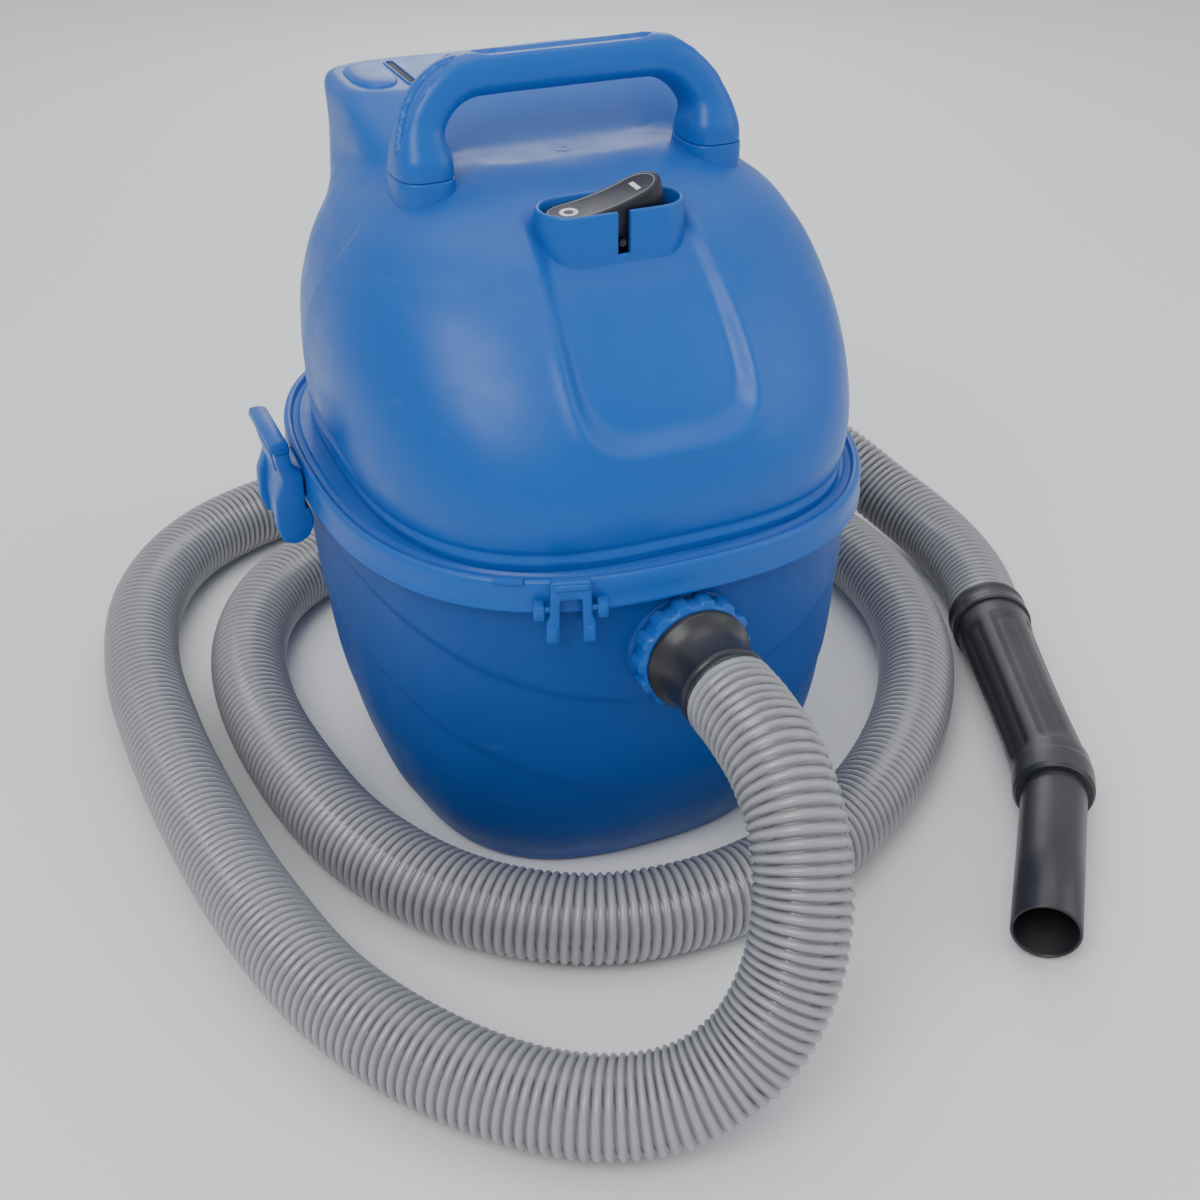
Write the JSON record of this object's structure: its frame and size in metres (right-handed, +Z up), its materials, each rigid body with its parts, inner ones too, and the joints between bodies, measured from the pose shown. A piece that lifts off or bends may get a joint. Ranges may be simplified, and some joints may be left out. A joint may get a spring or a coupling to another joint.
{
  "type": "shop vacuum",
  "caption": "Compact wet and dry vacuum: tapered plastic tank, lift-off motor head with carry handle, rocker switch, side latches, and a ribbed suction hose ending in a bent wand.",
  "frame": {"origin": "on the tank's flat base, at floor level, straight under the middle of the tank's mouth", "axes": "+Z up; -Y is the front, where the suction inlet and the switch face; the carry handle runs along X"},
  "size_m": [0.5522, 0.6297, 0.3907],
  "materials": {
    "blue_shell": "semi-gloss moulded plastic",
    "black_plastic": "satin moulded plastic",
    "silver_hose": "satin ribbed plastic",
    "rubber": "matt rubber",
    "grey_foam": "open-cell foam",
    "steel": "plain steel",
    "copper_winding": "varnished copper wire",
    "white_plastic": "plain moulded plastic"
  },
  "bodies": {
    "base": {"tank": "blue_shell", "inlet_spigot": "blue_shell", "inlet_hood": "blue_shell", "hose_cuff": "black_plastic", "hose": "silver_hose", "wand_collar": "black_plastic", "wand_grip": "black_plastic", "wand_tube": "black_plastic"},
    "collar": {"locking_collar": "blue_shell"},
    "head": {"lid_ring": "blue_shell", "lid_gasket": "rubber", "base_screw_1": "steel", "base_screw_2": "steel", "base_screw_3": "steel", "base_screw_4": "steel", "head_shell": "blue_shell", "cord_gland": "black_plastic", "exhaust_grille": "black_plastic", "handle": "blue_shell", "handle_screw_left": "steel", "handle_screw_right": "steel", "switch_pin": "steel", "switch_body": "white_plastic", "latch_pin_left": "steel", "latch_pin_right": "steel", "motor_seat": "rubber", "fan_housing": "steel", "stator": "steel", "field_coil_upper": "copper_winding", "field_coil_lower": "copper_winding", "bearing_lower": "steel", "bearing_upper": "steel", "motor_bridge": "white_plastic", "carbon_brush_left": "rubber", "carbon_brush_right": "rubber", "filter_cage": "black_plastic", "foam_filter": "grey_foam", "filter_band": "rubber"},
    "rotor": {"armature": "copper_winding", "impeller": "steel"},
    "rocker": {"switch_rocker": "black_plastic"},
    "latch_left": {"latch_lever_left": "blue_shell"},
    "latch_right": {"latch_lever_right": "blue_shell"},
    "clip": {"front_clip": "blue_shell"},
    "float": {"float_ball": "white_plastic"}
  },
  "joints": [
    {"name": "head_lift", "type": "slide", "parent": "base", "child": "head", "axis": [0, 0, 1], "range_m": [0, 0.1]},
    {"name": "collar_turn", "type": "hinge", "parent": "base", "child": "collar", "pos_m": [0, -0.162, 0.145], "axis": [0, 1, 0], "range_deg": [0, 75]},
    {"name": "motor_spin", "type": "hinge", "parent": "head", "child": "rotor", "pos_m": [0, 0.014, 0.25], "axis": [0, 0, 1], "continuous": true},
    {"name": "switch_rock", "type": "hinge", "parent": "head", "child": "rocker", "pos_m": [0, -0.06, 0.317], "axis": [0, 1, 0], "range_deg": [0, 28]},
    {"name": "latch_left_squeeze", "type": "hinge", "parent": "head", "child": "latch_left", "pos_m": [-0.1435, 0.02, 0.1855], "axis": [0, 1, 0], "range_deg": [0, 11], "stiffness_Nm_per_rad": 0.2},
    {"name": "latch_right_squeeze", "type": "hinge", "parent": "head", "child": "latch_right", "pos_m": [0.1435, 0.02, 0.1855], "axis": [0, -1, 0], "range_deg": [0, 11], "stiffness_Nm_per_rad": 0.2},
    {"name": "clip_tilt", "type": "hinge", "parent": "head", "child": "clip", "pos_m": [-0.05914, -0.15344, 0.1815], "axis": [0.9588, -0.2842, 0], "range_deg": [0, 14]},
    {"name": "float_rise", "type": "slide", "parent": "head", "child": "float", "axis": [0, 0, 1], "range_m": [0, 0.0485]}
  ]
}
